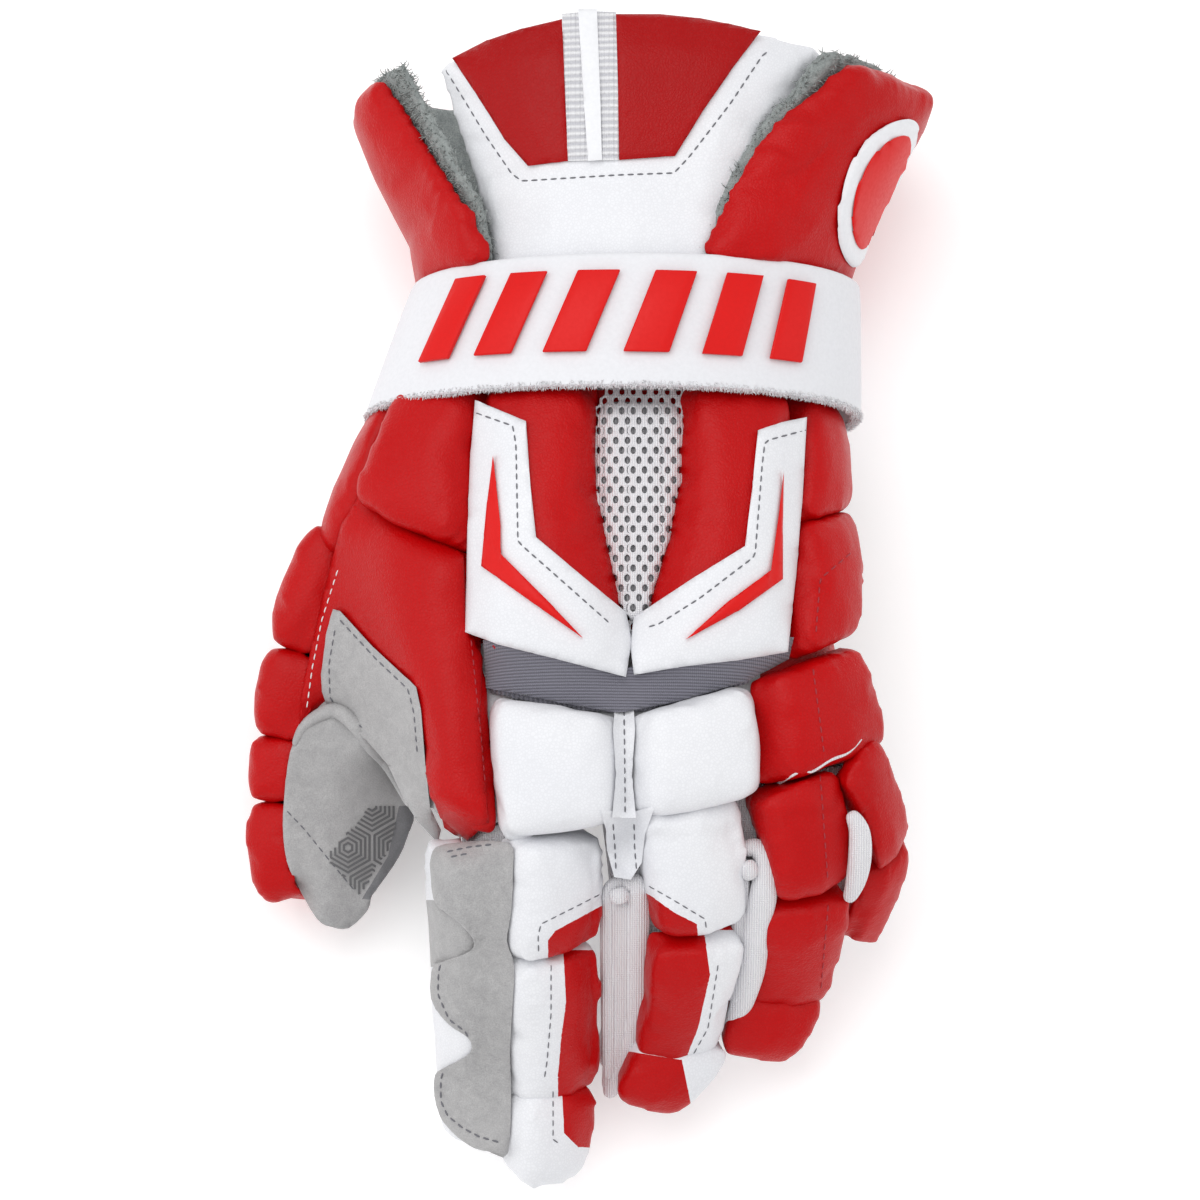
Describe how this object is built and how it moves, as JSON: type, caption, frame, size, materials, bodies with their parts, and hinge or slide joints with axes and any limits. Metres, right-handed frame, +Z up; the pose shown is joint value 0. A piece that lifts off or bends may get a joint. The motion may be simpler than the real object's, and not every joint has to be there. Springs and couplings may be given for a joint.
{
  "type": "lacrosse glove",
  "caption": "Padded left-hand lacrosse glove: hand bag, finger stalls, puffed back and finger pads, flared split cuff and a wrist strap, lying palm down.",
  "frame": {"origin": "floor under the middle of the glove's outline, where it lies palm down", "axes": "+Z up from the palm to the back of the hand, +Y from the fingertips to the open cuff, +X towards the little finger"},
  "size_m": [0.1898, 0.3146, 0.0965],
  "materials": {
    "red_leather": "smooth grained synthetic leather, red",
    "white_leather": "smooth grained synthetic leather, white",
    "palm_leather": "soft light-grey suede palm",
    "suede": "light-grey suede",
    "knit": "white knitted fabric",
    "strap_material": "matt white moulded band with a fleece edge",
    "mesh_fabric": "white spacer mesh with grey holes",
    "ribbed_knit": "grey ribbed elastic knit",
    "fleece": "grey-green fleece",
    "red_overlay": "satin red synthetic leather",
    "webbing": "white woven webbing",
    "webbing_band": "matt white strip",
    "red_rubber": "satin red moulded rubber",
    "white_rubber": "matt white moulded rubber"
  },
  "bodies": {
    "root": {"hand_bag": "palm_leather", "thumb_stall": "palm_leather", "index_stall": "knit", "middle_stall": "knit", "ring_stall": "knit", "pinky_stall": "knit", "wrist_strap": "strap_material", "back_pad_left": "red_leather", "back_pad_right": "red_leather", "wrist_pad_left": "red_leather", "side_roll_left": "red_leather", "hand_panel_left": "red_leather", "side_pad_upper": "red_leather", "side_pad_lower": "red_leather", "knuckle_pad_ring": "red_leather", "ring_roll_1": "red_leather", "ring_roll_2": "red_leather", "ring_roll_3": "red_leather", "pinky_roll_1": "red_leather", "pinky_roll_2": "red_leather", "middle_roll_2": "red_leather", "thumb_roll_1": "red_leather", "thumb_roll_2": "red_leather", "thumb_roll_3": "red_leather", "thumb_roll_4": "red_leather", "cuff_flap_left": "red_leather", "cuff_flap_right": "red_leather", "knuckle_pad_index": "white_leather", "knuckle_pad_middle": "white_leather", "index_roll_1": "white_leather", "index_roll_2": "white_leather", "index_roll_3": "white_leather", "middle_roll_1": "white_leather", "middle_roll_3": "white_leather", "wrist_guard": "white_leather", "chevron_left": "white_leather", "chevron_right": "white_leather", "mesh_insert": "mesh_fabric", "flex_band": "ribbed_knit", "index_side_pad": "suede", "thumb_web": "suede", "lining_left": "fleece", "lining_right": "fleece", "guard_panel_left": "red_overlay", "guard_panel_right": "red_overlay", "guard_webbing": "webbing", "guard_webbing_band": "webbing_band", "spear_left": "red_rubber", "spear_right": "red_rubber", "badge_centre": "red_rubber", "strap_bar_1": "red_rubber", "strap_bar_2": "red_rubber", "strap_bar_3": "red_rubber", "strap_bar_4": "red_rubber", "strap_bar_5": "red_rubber", "strap_bar_6": "red_rubber", "badge_ring": "white_rubber"}
  },
  "joints": []
}
